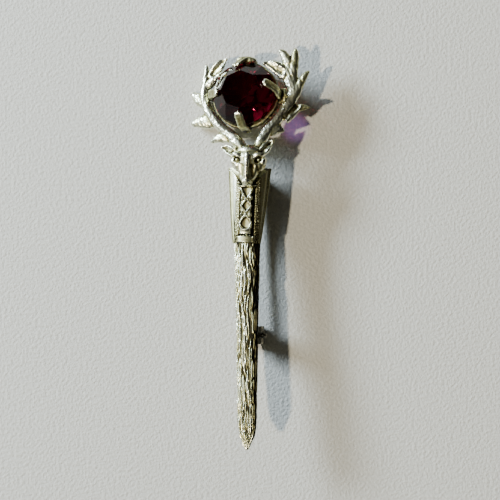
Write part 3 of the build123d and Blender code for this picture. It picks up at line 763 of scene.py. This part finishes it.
# %% Scoops
# from, to, radius, depth
scoops = []
for side in (-1, 1):
    scoops += [
        (head @ Vector((side * 2.65, 4.95, 4.5)), head @ Vector((side * 2.2, 4.6, 4.6)), 0.85, 0.6),
        (head @ Vector((side * 0.6 - 0.1, -0.3, 4.1)), head @ Vector((side * 0.5, 0.1, 4.6)), 0.36, 0.22),
        (head @ Vector((side * 1.2, 3.4, 4.6)), head @ Vector((side * 1.3, 1.4, 4.3)), 0.7, 0.25),
    ]
scoops += [
    (head @ Vector((-3.2, 6.25, 3.9)), head @ Vector((-5.5, 7.45, 3.2)), 0.85, 0.62),
    (head @ Vector((2.95, 6.6, 4.0)), head @ Vector((4.5, 8.6, 3.5)), 0.85, 0.62),
    (on_wreath(144, 0.96, 0.42), on_wreath(123, 0.97, 0.5), 0.95, 0.5),
    (on_wreath(32, 0.97, 0.5), on_wreath(54, 0.88, 0.62), 0.95, 0.45),
    (on_wreath(-30, 1.06, 0.6), on_wreath(-14, 1.2, 0.3), 0.8, 0.3),
]
print("there are", len(scoops), "scoops")

# %% Head and antlers
antler_start, head_end = -15, 8
lumpy, worn = 0.09, 0.05


def wax_depth(place):
    """Depth of the cuts in head and antlers at a place."""
    depth = 0.0
    for start, end, radius, deep in scoops:
        run = end - start
        share = min(1, max(0, (place - start).dot(run) / run.length_squared))
        far = (place - start - run * share).length / radius
        if far < 1:
            depth -= deep * (1 - far * far) ** 1.3
    from_stone = place - stone_place
    if from_stone.y > antler_start:
        around, radius = math.atan2(from_stone.y, from_stone.x), math.hypot(*from_stone.xy)
        depth += lumpy * noise.noise(Vector((radius * 1.7, around * 2.6, place.z * 1.7)))
    return depth + worn * noise.noise(place * 2.2)


def painted_shade_and_darker_low_sides(place):
    """Painted shade on the muzzle's right side and the thin tips at the right, and darker low outer sides of
    the antlers.
    """
    on_head = head.inverted() @ place
    if on_head.y <= head_end:
        return 0.26 * step(0.1, 1.0, on_head.x) * (1 - step(4.0, 5.2, on_head.y))
    from_stone = place - stone_place
    reach = math.hypot(*from_stone.xy) / wreath_radius
    right_tips = step(1.12, 1.4, reach) * (from_stone.x > 0)
    low_sides = step(0.9, 1.2, reach) * (from_stone.y < 0)
    return 0.45 * right_tips + 0.12 * low_sides


cut(skin, wax_depth)
# Painted shade on the muzzle's right side and the right tips, and darker low antler sides, added to the
# tarnish in the hollows.
extra = np.array([painted_shade_and_darker_low_sides(v.co) for v in skin.verts])
finished_casting("stag_head_and_antlers", skin, hollowness(skin, 30, 0.27) - 0.17 + extra)

# %% Eyes
eye_radius, eye_side, eye_place, eye_height = 0.38, 2.4, 4.8, 3.9
bm = bmesh.new()
for side in (-1, 1):
    lump(bm, (side * eye_side, eye_place, eye_height), [eye_radius] * 3, head)
finished_casting("eyes", bm, np.full(len(bm.verts), 0.2))

# %% [markdown]
# ## The setting
#
# The stone sits on an open ring, the collet, and is held by four thick claws that are bent over its crown.
# The claws are square wire with rounded corners, and their tips are filed bright. A bevelled curve would give
# round wire, so each claw is a strip with squared corners that follows the stone's profile: up past the
# girdle, in over the crown, and down onto it with a hair's clearance. Solder joins the collet to the claws
# and the antlers.

# %% Setting sizes
stone_radius, table_radius = 7.0, 4.2
crown_height, seat_height = 3.4, 2.5
collet_inner, collet_outer, collet_height, collet_drop = 5.8, 7.4, 1.5, 0.3
claw_width, claw_thickness, stone_clearance = 1.9, 0.95, 0.08
setting_pitch, setting_roll = math.radians(6), math.radians(3)
setting = (
    Matrix.Translation(stone_place)
    @ Matrix.Rotation(-setting_pitch, 4, "X")
    @ Matrix.Rotation(-setting_roll, 4, "Y")
)
# foot and tip angle, and how far in the tip is as a share of the stone's radius
claws = [(-4, 15, 0.72), (81, 104, 0.77), (178, 183, 0.68), (-89, -93, 0.68)]
# as the claw rises: reach from tip to girdle, lift out, seat, crown, lift up, turn, breadth, thickness
claw_sections = [
    (1.00, 1.15, -0.15, 0.00, 0.00, 0.00, 1.10, 1.15),
    (1.00, 1.10, 0.45, 0.00, 0.00, 0.05, 1.05, 1.05),
    (1.00, 1.02, 1.00, 0.00, 0.00, 0.12, 1.00, 1.00),
    (1.00, 0.86, 1.00, 0.00, 0.94, 0.28, 1.00, 0.95),
    (0.60, 0.68, 1.00, 0.42, 0.88, 0.60, 0.98, 0.90),
    (0.16, 0.66, 1.00, 0.84, 0.86, 0.92, 0.95, 0.86),
    (0.00, 0.58, 1.00, 1.00, 0.76, 1.00, 0.75, 0.65),
]
print("there are", len(claws), "claws")


# %% Claws
def on_setting(radius, angle, rise):
    """Place at a radius and angle about the stone's axis and at a rise along it."""
    a = math.radians(angle)
    return setting @ Vector((radius * math.cos(a), radius * math.sin(a), rise))


def claw_stations(foot_angle, tip_angle, tip_share):
    """Stations of a claw from its foot to its tip."""
    lift = claw_thickness / 2 + stone_clearance
    tip = tip_share * stone_radius
    tip_rise = crown_height * min(1, (stone_radius - tip) / (stone_radius - table_radius))
    stations = []
    for reach, out, seat, crown, up, turn, broad, thick in smooth_rows(claw_sections, 6):
        radius = tip + (stone_radius - tip) * reach + lift * out
        rise = seat_height * seat + tip_rise * crown + lift * up
        place = on_setting(radius, foot_angle + (tip_angle - foot_angle) * turn, rise)
        stations.append((*place, claw_width / 2 * broad, claw_thickness / 2 * thick))
    return stations


# %% Collet
bm = bmesh.new()
collet_foot = setting @ Matrix.Translation((0, 0, -collet_drop))
bmesh.ops.create_circle(bm, segments=96, radius=collet_outer, matrix=collet_foot)
made = bmesh.ops.extrude_edge_only(bm, edges=bm.edges[:])["geom"]
wall = [v for v in made if isinstance(v, bmesh.types.BMVert)]
bmesh.ops.translate(bm, verts=wall, vec=setting.to_3x3() @ Vector((0, 0, collet_height)))
bmesh.ops.solidify(bm, geom=bm.faces[:], thickness=collet_outer - collet_inner)
print("the collet has", len(bm.faces), "faces")

# %% Setting
for claw in claws:
    strip(bm, claw_stations(*claw), up=on_setting(1, claw[0], 0) - stone_place, square=0.55)
# the top claw has a broad shoulder
lump(bm, on_setting(7.35, 86, 3.0), (2.3, 0.8, 0.75), tilt=-3)
# solder from the collet to claws and antlers: angle, half width, outer end
solder_start, solder_rise, solder_thickness = 6.3, 0.5, 0.45
solder = [(-3, 1.6, 8.9), (81, 0.75, 8.0), (179, 0.8, 8.9), (-87, 0.75, 8.0)]
solder += [(-42, 0.6, 8.6), (217, 0.6, 8.6)]
for angle, half_width, outside in solder:
    ends = [on_setting(r, angle, solder_rise) for r in (solder_start, outside)]
    strip(bm, [(*end, half_width, solder_thickness) for end in ends])
skin = melted(bm, 0.1, 2)
cut(skin, lambda place: worn * noise.noise(place * 2.0))

# %% Tarnish of the setting
# heights above the seat's plane, and the tarnish there: most on the collet, none on the filed tips
tarnish_heights, tarnish_there = (1.3, 1.7, 5.0, 6.0), (0.34, 0.2, 0.2, 0.0)
on_axis = [setting.inverted() @ v.co for v in skin.verts]
by_height = np.interp([p.z for p in on_axis], tarnish_heights, tarnish_there)
# The low part of the setting on its left half is made darker.
darker_low_left = np.array([0.25 if p.x < 0.5 and p.z < 1.6 else 0.0 for p in on_axis])
finished_casting("claw_setting", skin, hollowness(skin, 30, 0.35) - 0.05 + by_height + darker_low_left)

# %% [markdown]
# ## Stone, pin and catch
#
# Their CAD shapes are right as they are: flat polished facets, drawn wire, sawn and drilled rings. A copy
# with bevels would only blur the facets, so the CAD pieces stay and get nothing but their finish.

# %% Finishes of the CAD pieces
for node, material, slot in (
    ("stone", glass, "purple_glass"),
    ("pin_stem", steel, "steel_wire"),
    ("safety_catch", nickel, "dark_nickel"),
    ("catch_collar", nickel, "dark_nickel"),
):
    solid = frame["nodes"][node]
    solid.data.materials.clear()
    solid.data.materials.append(material)
    print(node, "is", material.name)

# %% [markdown]
# ## Paper
#
# The pin lies on pale, slightly rough paper, where the stone throws a small patch of lilac light. Traced
# caustics would need far more samples than such a small patch is worth, so the paper glows a little there.
# The paper's tooth is drawn two thirds of a millimetre wide, coarser than real tooth, which would not show.

# %% Paper
tooth_size = 2 / 3
paper, tree, shader = new_material("pale_paper_pressed")
place = add(tree, "ShaderNodeTexCoord").outputs["Object"]
tooth = add(tree, "ShaderNodeTexNoise", {"Vector": place, "Scale": grains(tooth_size), "Detail": 6})
pale = shades(tree, tooth.outputs[0], (0.3, "#cecdc5"), (0.7, "#dddbd2"))
tree.links.new(pale, shader.inputs["Base Color"])
shader.inputs["Roughness"].default_value = 0.9
bump = add(tree, "ShaderNodeBump", {"Height": tooth.outputs[0], "Strength": 0.45, "Distance": 0.0005})
tree.links.new(bump.outputs[0], shader.inputs["Normal"])
print(paper.name, "has", len(tree.nodes), "nodes")

# %% Lilac light on the paper
glow_place, glow_full, glow_end, glow_strength = (0.0102, 0.0265, 0), 0.0012, 0.0042, 0.3
distance = add(tree, "ShaderNodeVectorMath", {0: place, 1: glow_place}, operation="DISTANCE")
fading = {0: distance.outputs["Value"], 1: glow_full, 2: glow_end, 3: glow_strength, 4: 0.0}
glow = add(tree, "ShaderNodeMapRange", fading, interpolation_type="SMOOTHSTEP")
shader.inputs["Emission Color"].default_value = colour("#a878cc")
tree.links.new(glow.outputs[0], shader.inputs["Emission Strength"])
print("the glow is", round(2000 * glow_end, 1), "mm wide")

# %% Floor
floor_half_size = 1.5
bm = bmesh.new()
bmesh.ops.create_grid(bm, x_segments=1, y_segments=1, size=floor_half_size)
floor = object_from("floor", bm)
floor.data.materials.append(paper)
print("the floor is", 2 * floor_half_size, "m wide")

# %% [markdown]
# ## Light
#
# Two lights cast the pin's shadows. The key is a warm hard lamp, high on the left: its sharp shadow falls
# close by, to the right and a little up. The window is as strong, cool and soft, and so low that its light
# passes under the raised shaft: its wide warm shadow falls further to the right. One large soft light would
# be simpler, but would lose both shadows. The room is pale on the window's side and dim on the other, which
# gives the silver its dark edges.


# %% Lamps
def lamp(name, kind, **settings):
    """Lamp of a kind with its settings, linked to the scene."""
    data = bpy.data.lights.new(name, kind)
    for key, value in settings.items():
        setattr(data, key, value)
    made = bpy.data.objects.new(name, data)
    made.rotation_mode = "QUATERNION"
    bpy.context.scene.collection.objects.link(made)
    return made


key_side, key_rise = math.radians(20), math.radians(50)
towards_key = Vector((-math.cos(key_side), -math.sin(key_side), math.tan(key_rise))).normalized()
key = lamp("key", "SUN", energy=2.9, angle=math.radians(3), color=(1.0, 0.9, 0.7))
key.rotation_quaternion = towards_key.to_track_quat("Z", "Y")

pane = {"shape": "RECTANGLE", "size": 0.32, "size_y": 0.13}
window = lamp("window", "AREA", energy=15.8, color=(0.73, 0.87, 1.0), **pane)
window.location = (-0.605, 0.315, 0.26)
window.rotation_quaternion = window.location.to_track_quat("Z", "Y")
print("the window is", round(window.location.length, 2), "m away")

# %% Room
room_tones = (0.0, "#dcdad2"), (0.35, "#aaa79f"), (0.6, "#5c5853"), (0.8, "#36322e"), (1.0, "#262320")
room = bpy.data.worlds.new("room")
room.use_nodes = True
tree = room.node_tree
towards = add(tree, "ShaderNodeTexCoord").outputs["Generated"]
side = add(tree, "ShaderNodeSeparateXYZ", {"Vector": towards}).outputs[0]
across_room = add(tree, "ShaderNodeMapRange", {0: side, 1: -0.8, 2: 0.7, 3: 0.0, 4: 1.0}).outputs[0]
background = tree.nodes["Background"]
tree.links.new(shades(tree, across_room, *room_tones), background.inputs["Color"])
background.inputs["Strength"].default_value = 0.3
bpy.context.scene.world = room
print("the room has", len(room_tones), "tones")
